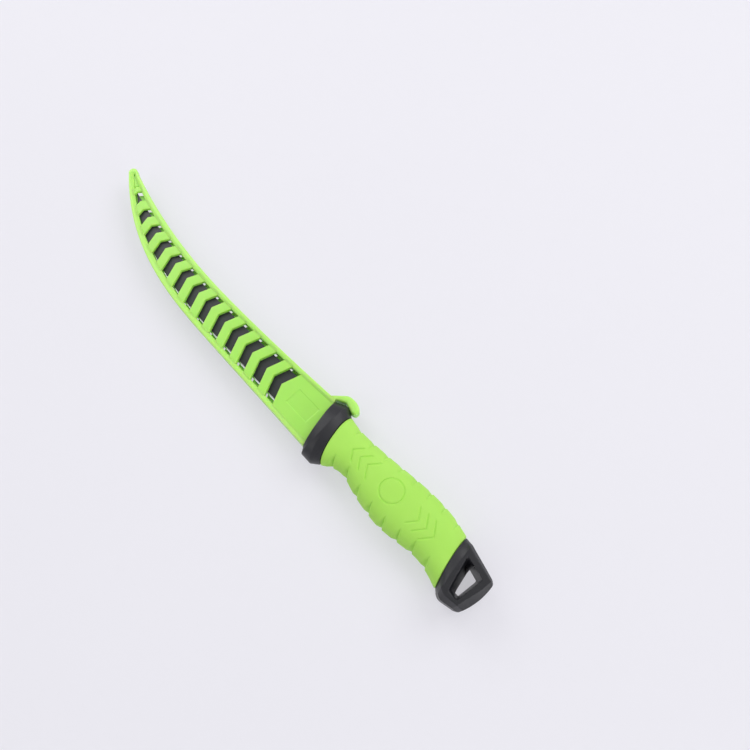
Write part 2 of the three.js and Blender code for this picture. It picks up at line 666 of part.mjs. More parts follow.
function addPiece(name, solid, material) {
  const mesh = new THREE.Mesh(toGeometry(solid), material);
  mesh.name = name;
  knife.add(mesh);
}

addPiece('blade', makeBlade(), coatedSteel);
addPiece('handle_core', makeCore(), blackPlastic);
addPiece('bolster', makeBolster(), blackPlastic);
addPiece('grip', makeGrip(), greenRubber);
addPiece('pommel', makePommel(), blackPlastic);
addPiece('sheath', makeSheath(), greenPlastic);
addPiece('sheath_catch', makeCatch(), greenPlastic);

// The origin is under the middle of the whole knife, on the surface that it lies on.
const box = new THREE.Box3().setFromObject(knife);
const centre = box.getCenter(new THREE.Vector3());
knife.position.set(-centre.x, -centre.y, -box.min.z);

export default knife;
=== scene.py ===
# %% [markdown]
# # A fillet knife in its slotted sheath
# The imported model is the fixed frame: it says where every piece sits and what moves. This lesson
# dresses it. Each visible piece is a surface worked out with numpy, and each finish is a small node
# tree; every piece is hung under the empty of its body as it is made.

import bmesh
import bpy
import numpy as np
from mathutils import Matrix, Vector


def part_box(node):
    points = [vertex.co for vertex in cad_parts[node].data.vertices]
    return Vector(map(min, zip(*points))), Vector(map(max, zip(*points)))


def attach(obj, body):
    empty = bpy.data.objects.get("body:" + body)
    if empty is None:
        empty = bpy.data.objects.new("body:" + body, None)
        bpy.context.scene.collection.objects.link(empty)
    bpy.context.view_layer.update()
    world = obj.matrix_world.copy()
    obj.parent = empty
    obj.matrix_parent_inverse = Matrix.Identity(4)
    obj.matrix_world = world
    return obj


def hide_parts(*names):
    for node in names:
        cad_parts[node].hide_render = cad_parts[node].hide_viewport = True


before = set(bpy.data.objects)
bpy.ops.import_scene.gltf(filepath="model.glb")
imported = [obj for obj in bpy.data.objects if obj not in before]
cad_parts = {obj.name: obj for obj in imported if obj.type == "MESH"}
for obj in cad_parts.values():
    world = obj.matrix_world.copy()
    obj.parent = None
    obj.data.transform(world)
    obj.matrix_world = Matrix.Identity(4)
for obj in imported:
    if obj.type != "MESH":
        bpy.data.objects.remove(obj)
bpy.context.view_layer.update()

# %% [markdown]
# ## One set of working axes
# A knife maker measures from the bolster, so the sizes below do too: X = 0 is the ridge of the
# bolster, X grows towards the butt, Y towards the spine and Z = 0 is the middle of the blade. The boxes
# of two imported nodes, the blade and the bolster, tell where that point lies in the frame, so nothing is
# fitted by eye.

# %% Datum and units
HEEL_X = -5.1
TANG_LENGTH = 97
BOLSTER_SPINE = 20.3

blade_low, blade_high = (np.array(corner) * 1000 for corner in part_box("blade"))
bolster_high = np.array(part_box("bolster")[1]) * 1000
DATUM = np.array([
    blade_high[0] - (HEEL_X + TANG_LENGTH),
    bolster_high[1] - BOLSTER_SPINE,
    (blade_low[2] + blade_high[2]) / 2,
])


def metres(points):
    """Working millimetres to the frame's metres: add the datum, divide by a thousand."""
    return (np.asarray(points, float) + DATUM) / 1000


def mix(a, b, share):
    """A straight blend, a at share 0 and b at share 1."""
    return a + (b - a) * share


print("datum, mm:", DATUM.round(2))

# %% [markdown]
# ## From arrays to a mesh
# A surface of two parameters is a grid of points. Joining each point to its neighbours gives quads, and
# a direction that closes on itself joins its last line to its first. Points that fall together, as at a
# pole, are welded, and then the normals are turned outwards. Creases sharper than an angle stay crisp.

# %% Grids and pieces
WELD = 2e-7


def grid_faces(rows, cols, close_rows):
    """Corner numbers of the quads of one grid, row by row; the columns always close."""
    r, c = np.meshgrid(np.arange(rows if close_rows else rows - 1), np.arange(cols), indexing="ij")
    r2, c2 = (r + 1) % rows, (c + 1) % cols
    return np.stack([r * cols + c, r * cols + c2, r2 * cols + c2, r2 * cols + c], -1).reshape(-1, 4)


def link_object(name, data):
    """A new object with this data, put in the scene."""
    made = bpy.data.objects.new(name, data)
    bpy.context.scene.collection.objects.link(made)
    return made


def add_piece(name, points, ends, materials, body, replaces=(), sharp=30, column_material=None):
    """One object from a grid of millimetre points; leading axes may hold many grids at once. ends says
    what the first and last rows do: "joined" to each other, "flat" for a face over each, "poles" where
    each is one point. column_material numbers the material of each column."""
    rows, cols = points.shape[-3:-1]
    starts = np.arange(points.size // (3 * rows * cols))[:, None] * rows * cols
    quads = grid_faces(rows, cols, ends == "joined") + starts[..., None]
    faces = quads.reshape(-1, 4).tolist()
    if ends == "flat":
        ring = np.arange(cols)
        faces += (starts + ring).tolist() + (starts + (rows - 1) * cols + ring).tolist()
    mesh = bpy.data.meshes.new(name)
    mesh.from_pydata(metres(points.reshape(-1, 3)).tolist(), [], faces)
    for material in materials:
        mesh.materials.append(material)
    if column_material is not None:
        numbers = np.zeros(len(faces), np.int32)
        repeats = len(numbers) // len(column_material)
        numbers[: repeats * len(column_material)] = np.tile(column_material, repeats)
        mesh.polygons.foreach_set("material_index", numbers)
    bm = bmesh.new()
    bm.from_mesh(mesh)
    bmesh.ops.remove_doubles(bm, verts=bm.verts, dist=WELD)
    bmesh.ops.dissolve_degenerate(bm, edges=bm.edges, dist=WELD)
    # Grids that stand side by side share walls inside, which are taken out.
    inner_walls = [face for face in bm.faces if sum(len(edge.link_faces) > 2 for edge in face.edges) > 1]
    bmesh.ops.delete(bm, geom=inner_walls, context="FACES")
    bmesh.ops.recalc_face_normals(bm, faces=bm.faces)
    open_edges = sum(1 for edge in bm.edges if not edge.is_manifold)
    bm.to_mesh(mesh)
    bm.free()
    mesh.shade_smooth()
    mesh.set_sharp_from_angle(angle=np.radians(sharp))
    piece = link_object(name, mesh)
    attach(piece, body)
    if replaces:
        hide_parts(*replaces)
    triangles = sum(len(polygon.vertices) - 2 for polygon in mesh.polygons)
    print(f"{name}: {triangles} triangles, {open_edges} open edges")


# %% [markdown]
# ## Finishes
# Colours are written as the sRGB values that a picture shows and turned to linear light once. Every
# pattern has a real size in millimetres, and one helper adds any node with its settings and links.

# %% Colour and node helpers
def srgb(code):
    """sRGB hex to linear RGBA: each channel through the standard curve."""
    value = np.array([int(code[i:i + 2], 16) for i in (1, 3, 5)]) / 255
    linear = np.where(value <= 0.04045, value / 12.92, ((value + 0.055) / 1.055) ** 2.4)
    return (*linear.tolist(), 1.0)


def add_node(tree, kind, inputs=None, **settings):
    """A node of this kind with its settings; an input is a plain value or the socket it is linked to."""
    made = tree.nodes.new(kind)
    for key, value in settings.items():
        setattr(made, key, value)
    for key, value in (inputs or {}).items():
        if isinstance(value, bpy.types.NodeSocket):
            tree.links.new(value, made.inputs[key])
        else:
            made.inputs[key].default_value = value
    return made


def per_metre(size_mm):
    """Noise scale for features of this size: one feature per size_mm, with the object in metres."""
    return 1000 / size_mm


def new_finish(name):
    """An empty node material, its tree and the place of each point on the object."""
    material = bpy.data.materials.new(name)
    material.use_nodes = True
    tree = material.node_tree
    tree.nodes.clear()
    place = add_node(tree, "ShaderNodeTexCoord").outputs["Object"]
    print("finish:", name)
    return material, tree, place


def blend(tree, pattern, dark, light):
    """A colour that runs from dark to light with a pattern."""
    made = add_node(tree, "ShaderNodeMix", {
        "Factor": pattern.outputs["Fac"], "A": srgb(dark), "B": srgb(light)}, data_type="RGBA")
    return made.outputs["Result"]


def relief(tree, pattern, height_mm):
    """Normals of a skin that a pattern lifts by up to this height."""
    made = add_node(tree, "ShaderNodeBump", {
        "Height": pattern.outputs["Fac"], "Strength": 1.0, "Distance": height_mm / 1000})
    return made.outputs["Normal"]


def close_finish(tree, surface):
    """Link the finished surface to the material's output."""
    add_node(tree, "ShaderNodeOutputMaterial", {"Surface": surface})


# %% [markdown]
# ### Moulded plastics
# All the plastics here come out of a spark-eroded mould: the skin has a fine, even grain, and the
# colour drifts a little where the melt flowed. The soft grip is a thermoplastic elastomer, matt because
# its grain is deep. The sheath is polypropylene, smoother, so it shows broad satin highlights. The
# bolster and pommel are nylon. One function makes them all from their sizes and colours.

# %% Moulded finishes
def moulded(name, light, dark, roughness, grain_mm, grain_height_mm, flow_mm, ior, specular, glow,
            scatter_mm):
    """Colour drifts from dark to light over flow_mm; grain of grain_mm lifts the skin grain_height_mm.
    glow is the share of the light that enters the skin and leaves it again about scatter_mm off."""
    material, tree, place = new_finish(name)
    flow = add_node(tree, "ShaderNodeTexNoise", {
        "Vector": place, "Scale": per_metre(flow_mm), "Detail": 3.0, "Roughness": 0.55})
    colour = blend(tree, flow, dark, light)
    grain = add_node(tree, "ShaderNodeTexNoise", {
        "Vector": place, "Scale": per_metre(grain_mm), "Detail": 2.0})
    gloss = add_node(tree, "ShaderNodeMapRange", {
        "Value": grain.outputs["Fac"], "From Min": 0.3, "From Max": 0.7,
        "To Min": roughness - 0.05, "To Max": roughness + 0.05})
    shader = add_node(tree, "ShaderNodeBsdfPrincipled", {
        "Base Color": colour, "Roughness": gloss.outputs["Result"],
        "Normal": relief(tree, grain, grain_height_mm), "IOR": ior, "Specular IOR Level": specular,
        "Subsurface Weight": glow, "Subsurface Radius": (1.0, 1.0, 0.5),
        "Subsurface Scale": scatter_mm / 1000})
    close_finish(tree, shader.outputs["BSDF"])
    return material


# Deep grain scatters the light, so the grip looks dry and even from every side.
# The real grain is about 0.2 mm; it is drawn at 0.7 mm so that it still shows.
soft_elastomer = moulded(
    "tpe_overmould_lime", "#b3eb63", "#aae459", 0.66, 0.7, 0.014, 18, 1.48, 0.4, 0.25, 1.6)

# A smoother mould: the rim and the ribs pick up soft, wide highlights.
# The wall is thin and lets light through, so its shaded sides glow a strong green.
satin_polypropylene = moulded(
    "polypropylene_satin_lime", "#b3f069", "#abea5d", 0.42, 0.9, 0.006, 26, 1.49, 0.5, 0.7, 2.6)

# The bead and the tab are smoother from a polished mould; their lighter colour is a painted highlight.
polished_polypropylene_painted_highlight = moulded(
    "polypropylene_polished_painted_highlight_lime", "#bdf577", "#b5ef6b", 0.36, 0.9, 0.004, 26, 1.49, 0.5, 0.7, 2.6)

# Black nylon is never quite black: its grain catches a grey sheen.
black_nylon = moulded(
    "nylon_spark_grain_black", "#191a1f", "#121217", 0.45, 0.6, 0.010, 9, 1.53, 0.5, 0.0, 1.0)

# %% [markdown]
# ### Coated steel and the ground edge
# The blade carries a dark non-stick coat over a belt-finished face, so faint lines run along it and the
# sheen is broad. Along the edge a grinder has cut through the coat to bare steel, which is a mirror to
# the soft light and reads as a bright line.

# %% Steel finishes
LINE_MM = (40, 0.6, 0.6)  # length and spacing of the belt lines, wider than real so that they show


def steel(name, light, dark, metallic, roughness, line_depth_mm):
    """Noise stretched along X makes belt lines that shift both the colour and the gloss a little."""
    material, tree, place = new_finish(name)
    stretched = add_node(tree, "ShaderNodeMapping", {
        "Vector": place, "Scale": [per_metre(size) for size in LINE_MM]})
    lines = add_node(tree, "ShaderNodeTexNoise", {
        "Vector": stretched.outputs["Vector"], "Scale": 1.0, "Detail": 4.0, "Roughness": 0.6})
    colour = blend(tree, lines, dark, light)
    gloss = add_node(tree, "ShaderNodeMapRange", {
        "Value": lines.outputs["Fac"], "To Min": roughness - 0.06, "To Max": roughness + 0.08})
    shader = add_node(tree, "ShaderNodeBsdfPrincipled", {
        "Base Color": colour, "Roughness": gloss.outputs["Result"],
        "Normal": relief(tree, lines, line_depth_mm), "Metallic": metallic})
    close_finish(tree, shader.outputs["BSDF"])
    return material


coated_steel = steel("non_stick_coat_on_steel", "#404144", "#303134", 0.25, 0.45, 0.005)
ground_steel = steel("ground_steel_edge", "#f2f3f4", "#dfe1e3", 1.0, 0.24, 0.002)

# %% [markdown]
# ## Shared forms
# The handle pieces are all lofts of one oval, so the oval is a function: a superellipse whose power says
# how square it is. A run of widths is either a smooth curve through a few chosen heights, as on the soft
# grip, or straight facets with slightly rounded corners, as on the hard bolster.

# %% Oval sections and runs
HANDLE_RAKE = 0.23   # both ends of the grip lean, X per Y
HANDLE_BOW = 1.9     # and bow forward over the flanks
OVAL_POWER = 2.4


def oval(angle):
    """Superellipse: across runs -1 at the edge to 1 at the spine, up runs -1 to 1 through the flanks."""
    c, s = np.cos(angle), np.sin(angle)
    return np.sign(c) * np.abs(c) ** (2 / OVAL_POWER), np.sign(s) * np.abs(s) ** (2 / OVAL_POWER)


def cubic(before, start, end, after, w):
    """A cubic from start to end at shares w; its slopes there come from the points before and after."""
    leave, arrive = (end - before) / 2, (after - start) / 2
    return ((2 * start - 2 * end + leave + arrive) * w**3
            + (-3 * start + 3 * end - 2 * leave - arrive) * w**2 + leave * w + start)


def smooth_run(shares, heights):
    """A curve through the given heights: each stretch is a cubic whose slopes come from its neighbours."""
    p = np.column_stack([shares, heights]).astype(float)
    t = np.linspace(0, len(p) - 1, 60 * len(p))
    i = np.minimum(t.astype(int), len(p) - 2)
    w = (t - i)[:, None]
    curve = cubic(*(p[np.clip(i + k, 0, len(p) - 1)] for k in (-1, 0, 1, 2)), w)
    return lambda share: np.interp(share, curve[:, 0], curve[:, 1])


def faceted_run(places, heights, rounding):
    """Straight stretches between the places; each corner is averaged over rounding to either side."""
    window = np.linspace(-rounding, rounding, 15)
    return lambda at: np.interp(np.asarray(at)[..., None] + window, places, heights).mean(-1)


def end_rounding(distance, radius):
    """How far a quarter round of this radius has drawn in, at a distance from the end."""
    inside = np.clip(radius - distance, 0, radius)
    return radius - np.sqrt(radius**2 - inside**2)


# %% [markdown]
# ## The soft grip
# A sleeve of elastomer moulded over the core. Its back and belly are two curves, its section is the
# oval, and along both silhouettes short notches are gouged: each sinks slowly towards the butt and then
# steps out again. A thin ring and two sets of nested chevrons are engraved in the flanks as finger
# texture. Sculpting would do it too, but a formula keeps all sixteen notches alike and both flanks equal.

# %% Grip surface
GRIP_FRONT_X = 9.0
GRIP_LENGTH = 94
GRIP_END_ROUND = 0.9
NOTCH_COUNT, NOTCH_PITCH = 8, 10.9
NOTCH_SPINE, NOTCH_EDGE = (10, 1.1), (7, 1.9)  # where the first one lies, and the depth
NOTCH_RAMP, NOTCH_STEP, NOTCH_REACH = 3.4, 0.8, 6.8
NOTCH_LEAST = 0.05    # the ramp never gets shorter than this share
NOTCH_AT_EDGE = 0.55  # share of the depth at the silhouette
NOTCH_DEEPEN = 4      # how fast the rest is reached, mm per full depth
RING_CENTRE = (52.5, 4.2)
RING_RADIUS = 7.2
GROOVE_WIDTH, GROOVE_DEPTH = 0.36, 0.6
GROOVE_FADE = 1.2     # an arm of a chevron runs out over this length
ENGRAVED_ABOVE = 0.5  # only the flanks are engraved, above this share of the half thickness
CHEVRON_COUNT = 3
# Each set: X of the first point and the step to the next, Y, reach and its step, slope.
CHEVRON_SETS = [(20.5, 6, 4.4, 5.4, 0.6, 0.75), (86.5, -6, 3.6, 7.4, -0.6, -0.75)]

grip_spine = smooth_run([0, 0.12, 0.34, 0.56, 0.72, 0.87, 1],
                        [17.6, 16.3, 17.8, 20.2, 21.3, 20.8, 18.3])
grip_belly = smooth_run([0, 0.085, 0.165, 0.3, 0.48, 0.6, 0.79, 0.9, 1],
                        [-14.2, -9.9, -8.8, -11.9, -13.9, -13.0, -10.3, -11.3, -14.2])
grip_half = smooth_run([0, 0.18, 0.55, 1], [11.5, 10.9, 12.2, 11.8])


def notch_depth(along, inside, start, depth):
    """A gouge that narrows inwards: its ramp shrinks in step with the distance inside. It is deepest a
    little way in, so that the silhouette is only nicked."""
    index = np.clip(np.round((along - start) / NOTCH_PITCH), 0, NOTCH_COUNT - 1)
    past = along - start - index * NOTCH_PITCH
    nearness = np.clip(1 - inside / NOTCH_REACH, 0, 1)
    ramp = 1 + past / (NOTCH_RAMP * np.maximum(nearness, NOTCH_LEAST))
    step = 1 - past / NOTCH_STEP
    deepened = np.clip(NOTCH_AT_EDGE + inside / NOTCH_DEEPEN, 0, 1)
    return depth * nearness * deepened * np.clip(np.minimum(ramp, step), 0, 1)


def groove(distance):
    """Depth of an engraved line at a distance from its middle: a soft bell."""
    return GROOVE_DEPTH * np.exp(-(distance / GROOVE_WIDTH) ** 2)


def chevron_groove(x, y, apex_x, apex_y, reach, slope):
    """An engraved V of arms rising reach to either side; slope is X per Y, its sign the way it points."""
    side = np.abs(y - apex_y)
    fade = np.clip((reach - side) / GROOVE_FADE + 0.5, 0, 1)
    return groove((x - apex_x - slope * side) / np.hypot(1, slope)) * fade


def engraving(x, y):
    """The deepest of the ring and of the nested chevrons before and behind it."""
    depth = groove(np.hypot(x - RING_CENTRE[0], y - RING_CENTRE[1]) - RING_RADIUS)
    for first_x, step_x, apex_y, reach, step_reach, slope in CHEVRON_SETS:
        for k in range(CHEVRON_COUNT):
            line = chevron_groove(x, y, first_x + step_x * k, apex_y, reach + step_reach * k, slope)
            depth = np.maximum(depth, line)
    return depth


def grip_surface(along, angle, scale):
    """The oval between belly and back, drawn in by notches and end rounds; scale 0 closes the ends."""
    share = along / GRIP_LENGTH
    low, high, half = grip_belly(share), grip_spine(share), grip_half(share)
    across, up = oval(angle)
    middle, reach = (low + high) / 2, (high - low) / 2
    inside = (1 - np.abs(across)) * reach
    sunk = np.where(across > 0, *(notch_depth(along, inside, *side) for side in (NOTCH_SPINE, NOTCH_EDGE)))
    sunk = sunk + end_rounding(along, GRIP_END_ROUND) + end_rounding(GRIP_LENGTH - along, GRIP_END_ROUND)
    keep = scale * (1 - sunk / reach)
    y = middle + reach * across * keep
    z = half * up * keep
    x = GRIP_FRONT_X + along - HANDLE_RAKE * y - HANDLE_BOW * (up * scale) ** 2
    z = z - np.sign(up) * engraving(x, y) * (np.abs(up) > ENGRAVED_ABOVE) * scale
    return np.stack([x, y, z], -1)


end_steps = GRIP_END_ROUND * (1 - np.cos(np.linspace(0, np.pi / 2, 5)))[:-1]
body_steps = np.linspace(GRIP_END_ROUND, GRIP_LENGTH - GRIP_END_ROUND, 372)
grip_along = np.concatenate([
    [0, 0, 0], end_steps, body_steps, GRIP_LENGTH - end_steps[::-1], [GRIP_LENGTH] * 3])
grip_scale = np.ones_like(grip_along)
grip_scale[:3] = grip_scale[:-4:-1] = [0, 0.45, 0.85]
around = np.linspace(0, 2 * np.pi, 240, endpoint=False)
grip_points = grip_surface(grip_along[:, None], around[None, :], grip_scale[:, None])
add_piece("grip_skin", grip_points, "poles", [soft_elastomer], "knife", ["grip"], 40)

# %% [markdown]
# ## The bolster collar
# A nylon collar that stops the hand: a chamfer rises from the front face to a ridge, and a longer one
# falls to the grip. The corners of a mould are never sharp, so the straight facets are rounded a little,
# which is what gives each crease its thin line of light.

# %% Bolster surface
BOLSTER_PLACES = [-4.8, -1.2, 3.9, 8.7]
BOLSTER_CORNER = 0.16
BOLSTER_FRONT_ROUND, BOLSTER_BACK_ROUND = 0.5, 0.4

bolster_low, bolster_top, bolster_half, bolster_rake, bolster_bow = (
    faceted_run(BOLSTER_PLACES, heights, BOLSTER_CORNER) for heights in (
        [-15.0, -17.9, -17.9, -14.2], [17.2, 20.1, 20.9, 17.6], [12.0, 13.0, 13.0, 11.5],
        [0.218, 0.085, 0.2, 0.23], [0, -1.5, 2.4, 1.9]))


def bolster_surface(station, angle, scale):
    """The oval at each station, leaned and bowed as its facet asks; scale 0 closes the two faces."""
    low, high = bolster_low(station), bolster_top(station)
    across, up = oval(angle)
    drawn_in = (end_rounding(station - BOLSTER_PLACES[0], BOLSTER_FRONT_ROUND)
                + end_rounding(BOLSTER_PLACES[-1] - station, BOLSTER_BACK_ROUND))
    reach = (high - low) / 2
    keep = scale * (1 - drawn_in / reach)
    y = (low + high) / 2 + reach * across * keep
    z = bolster_half(station) * up * keep
    x = station - bolster_rake(station) * y - bolster_bow(station) * (up * scale) ** 2
    return np.stack([x, y, z], -1)


collar_front, *collar_creases, collar_back = BOLSTER_PLACES
crease_stations = np.add.outer(collar_creases, np.linspace(-2, 2, 9) * BOLSTER_CORNER).ravel()
bolster_stations = np.sort(np.concatenate([
    [collar_front] * 3, np.linspace(collar_front, collar_back, 70), crease_stations, [collar_back] * 3]))
bolster_scale = np.ones_like(bolster_stations)
bolster_scale[:3] = bolster_scale[:-4:-1] = [0, 0.5, 0.9]
bolster_points = bolster_surface(bolster_stations[:, None], around[None, ::2], bolster_scale[:, None])
add_piece("bolster_collar", bolster_points, "poles", [black_nylon], "knife", ["bolster"], 25)

# %% [markdown]
# ## The pommel and its lanyard hole
# The butt is a squarer loft with a three-sided hole right through it, rounded at both mouths. A boolean
# cut would leave a hard rim and stray slivers. Instead the whole skin is one grid that closes both ways,
# as a doughnut does: one direction goes round the hole, the other runs from the outside over the
# upper face, rolls down through the hole, comes out below and returns over the lower face.

# %% Pommel skin as one ring
POMMEL_FRONT_X = 103.3
POMMEL_LENGTH = 23.4
BUTT_X = POMMEL_FRONT_X + POMMEL_LENGTH
POMMEL_PLACES = [0, 0.16, 0.38, 0.78, 0.92, 1]
POMMEL_CORNER = 0.014
HALF_PLACES = [0, 0.16, 0.8, 1]
BUTT_BULGE = 1.8
BUTT_RAKE = -0.1            # the butt leans the other way
BEVEL_START = (0.80, 0.88)  # where the bevels leave the flat, on the edge side and on the spine side
BEVEL_END = (0.60, 0.75)    # and how high they end, as shares of the half thickness
BEVEL_CORNER = 0.025
BEVEL_BLEND = 4.5           # how fast the oval gives way to the bevels
HOLE_CENTRE = np.array([BUTT_X - 11.1, 0.5])
HOLE_ROUNDING = 12   # power of the rounded polygon: higher is sharper in the corners
LIP_REACH = 0.24     # the chamfer of the mouth, as a share of the way in to the waist
LIP_FALL = 0.12      # and as a share of the way down to it
LIP_CURVE = 1.6      # it leaves the face level and steepens inwards
WAIST_DROP = 8       # the narrowest place lies low, so the upper walls are long and mirror the floor
CREASE_SLANT = 0.0065  # the rear crease runs further back towards the spine, in shares per mm
CREASE_LOW_Y = -7

pommel_low = smooth_run(POMMEL_PLACES, [-13.6, -15.0, -16.4, -15.05, -14.6, -13.6])
pommel_high = smooth_run(POMMEL_PLACES, [17.8, 16.5, 14.8, 11.98, 10.9, 9.9])
pommel_half = faceted_run(HALF_PLACES, [11.8, 13.0, 13.0, 8.8], POMMEL_CORNER)
pommel_lean = smooth_run(POMMEL_PLACES, [0, 0.2, 0.45, 0.85, 1, 1])
pommel_bevel = faceted_run(
    [-1, -BEVEL_START[0], BEVEL_START[1], 1], [BEVEL_END[0], 1, 1, BEVEL_END[1]], BEVEL_CORNER)


def pommel_surface(share, angle):
    """The grip's raked, bowed oval at the front turns to a bulged butt, flat above with two bevels."""
    low, high, lean = pommel_low(share), pommel_high(share), pommel_lean(share)
    across = np.cos(angle)
    rounded = (1 - np.abs(across) ** OVAL_POWER) ** (1 / OVAL_POWER)
    up = mix(rounded, pommel_bevel(across), np.minimum(1, lean * BEVEL_BLEND))
    y = (low + high) / 2 + (high - low) / 2 * across
    z = pommel_half(share - CREASE_SLANT * np.maximum(0, y - CREASE_LOW_Y) * share) * up
    lean_x = (mix(HANDLE_RAKE, BUTT_RAKE, lean) * y + (1 - lean) * HANDLE_BOW * up**2
              + lean * BUTT_BULGE * across**2)
    return np.stack([POMMEL_FRONT_X + POMMEL_LENGTH * share - lean_x, y, z], -1)


def pommel_parameters(plan):
    """The share and angle of the upper skin over a plan point, by repeated correction of the share."""
    share = np.full(plan.shape[:-1], 0.5)
    for _ in range(30):
        low, high = pommel_low(share), pommel_high(share)
        angle = np.arccos(np.clip((plan[..., 1] - (low + high) / 2) / ((high - low) / 2), -1, 1))
        share = share + (plan[..., 0] - pommel_surface(share, angle)[..., 0]) / POMMEL_LENGTH
    return share, angle


def rounded_polygon(corners, direction):
    """Distance from the hole's centre to a polygon: every side in turn limits the ray, and adding their
    limits with a high power rounds the corners."""
    start = corners - HOLE_CENTRE
    side = np.roll(start, -1, 0) - start
    normal = np.column_stack([side[:, 1], -side[:, 0]]) / np.hypot(*side.T)[:, None]
    away = (normal * start).sum(1)
    ray = np.stack([np.cos(direction), np.sin(direction)], -1)
    limits = np.maximum(ray @ normal.T, 0) / away
    return (limits**HOLE_ROUNDING).sum(-1) ** (-1 / HOLE_ROUNDING)


waist, mouth = (np.array([BUTT_X, 0]) + corners for corners in (
    [(-10.9, -6.7), (-8.0, -6.7), (-6.3, 7.3), (-14.4, 8.8)],
    [(-15.6, -11.1), (-8.6, -10.8), (-6.6, 6.9), (-21.4, 10.6)]))

SIDE_STEPS, FACE_STEPS = 72, 72
FACE_EASE = 1.4  # the rows over a face crowd towards the hole
run = np.linspace(0, 1, SIDE_STEPS, endpoint=False)
edge_share = np.concatenate([np.ones(SIDE_STEPS), 1 - run, np.zeros(SIDE_STEPS), run])
edge_angle = np.concatenate([
    np.pi * (1 - run), np.zeros(SIDE_STEPS), np.pi * run, np.full(SIDE_STEPS, np.pi)])
rim_plan = pommel_surface(edge_share, edge_angle)[:, :2] - HOLE_CENTRE
direction = np.arctan2(rim_plan[:, 1], rim_plan[:, 0])
ray = np.stack([np.cos(direction), np.sin(direction)], -1)
mouth_plan, waist_plan = (
    HOLE_CENTRE + ray * rounded_polygon(corners, direction)[:, None] for corners in (mouth, waist))
mouth_share, mouth_angle = pommel_parameters(mouth_plan)

to_hole = 1 - (1 - np.linspace(0, 1, FACE_STEPS)) ** FACE_EASE
face_share = mix(edge_share, mouth_share, to_hole[:, None])
face_angle = mix(edge_angle, mouth_angle, to_hole[:, None])
upper = pommel_surface(face_share, face_angle)
chamfer = np.linspace(0, 1, 9)[1:]
wall = np.linspace(0, 1, 15)[1:]
inward = np.concatenate([LIP_REACH * chamfer, mix(LIP_REACH, 1, wall)])[:, None]
fallen = np.concatenate([LIP_FALL * chamfer**LIP_CURVE, mix(LIP_FALL, 1, wall)])[:, None]
funnel_plan = mix(mouth_plan, waist_plan, inward[..., None])
funnel_z = upper[-1, :, 2] * (1 - fallen)
top_funnel, low_funnel = (
    np.concatenate([funnel_plan, (face * funnel_z - WAIST_DROP * fallen)[..., None]], -1) for face in (1, -1))
mirror = np.array([1, 1, -1])
butt_rows = np.linspace(-1, 1, 9)[1:-1, None, None]
butt = upper[0] * np.array([1, 1, 0]) + upper[0] * np.array([0, 0, 1]) * butt_rows
pommel_points = np.concatenate([upper, top_funnel, low_funnel[-2::-1], upper[::-1] * mirror, butt])
add_piece("pommel_butt", pommel_points, "joined", [black_nylon], "knife", ["pommel"], 34)

# %% [markdown]
# ## The blade
# A slim trailing point, flat ground, with a fine bevel at the edge. Its outline is two formulas: the
# spine dips and rises as a power of the distance from its lowest point, and the edge runs straight and
# then sweeps up. The bevel's faces get the bare-steel finish by their column in the grid.

# %% Blade curves and mesh
BLADE_LENGTH = 198
TIP_X = HEEL_X - BLADE_LENGTH
SPINE_LOW, SPINE_LOW_X = 8.0, HEEL_X - 107
SPINE_HEEL_RISE, SPINE_HEEL_POWER, SPINE_TIP_POWER = 5.5, 1.6, 2
EDGE_DEPTH, EDGE_BEND_X, EDGE_POWER = 8.6, HEEL_X - 80, 3
BLADE_TIP_HEIGHT = 18.3
BEVEL_HEIGHT = 0.9
BLADE_HALF, POINT_HALF = 0.9, 0.45     # half thicknesses at the heel and at the point
SHOULDER_HALF, EDGE_HALF = 0.3, 0.06   # and where the bevel starts and ends
POINT_BLUNT, POINT_HEIGHT = 0.4, 0.3   # the point is not a needle
EDGE_FULLER, FULLER_FROM, FULLER_LENGTH = 0.8, -160, 41  # the ground edge swells before the point
MOUTH_RAKE, RAKE_FADE = 0.218, 4  # the heel leans as the mouth does; gone after 1/4 of the length


def spine_height(x):
    """Lowest at one place; rises by a power of the distance towards the heel and the point."""
    to_heel = np.clip((x - SPINE_LOW_X) / (HEEL_X - SPINE_LOW_X), 0, None)
    to_tip = np.clip((SPINE_LOW_X - x) / (SPINE_LOW_X - TIP_X), 0, None)
    return (SPINE_LOW + SPINE_HEEL_RISE * to_heel**SPINE_HEEL_POWER
            + (BLADE_TIP_HEIGHT - SPINE_LOW) * to_tip**SPINE_TIP_POWER)


def edge_height(x):
    """Straight from the heel, then a cube of the distance past the bend."""
    past = np.clip((EDGE_BEND_X - x) / (EDGE_BEND_X - TIP_X), 0, None)
    return -EDGE_DEPTH + (BLADE_TIP_HEIGHT + EDGE_DEPTH) * past**EDGE_POWER


blade_share = np.sin(np.linspace(0, np.pi / 2, 260))
blade_x = mix(HEEL_X, TIP_X + POINT_BLUNT, blade_share)
swell = np.clip((FULLER_FROM - blade_x) / FULLER_LENGTH, 0, 1)
edge_y = edge_height(blade_x) - EDGE_FULLER * np.sin(np.pi * swell)
spine_y = np.maximum(spine_height(blade_x), edge_y + POINT_HEIGHT)
shoulder_y = edge_y + np.minimum(BEVEL_HEIGHT, (spine_y - edge_y) / 2)
blade_half = mix(BLADE_HALF, POINT_HALF, blade_share**2)
section_y = np.stack([spine_y, spine_y, shoulder_y, edge_y, edge_y, shoulder_y], -1)
bevel_z = [np.full_like(blade_x, z) for z in (-SHOULDER_HALF, -EDGE_HALF, EDGE_HALF, SHOULDER_HALF)]
section_z = np.stack([blade_half, -blade_half, *bevel_z], -1)
section_x = blade_x[:, None] - MOUTH_RAKE * np.clip(1 - RAKE_FADE * blade_share, 0, 1)[:, None] * section_y
blade_points = np.stack([section_x, section_y, section_z], -1)
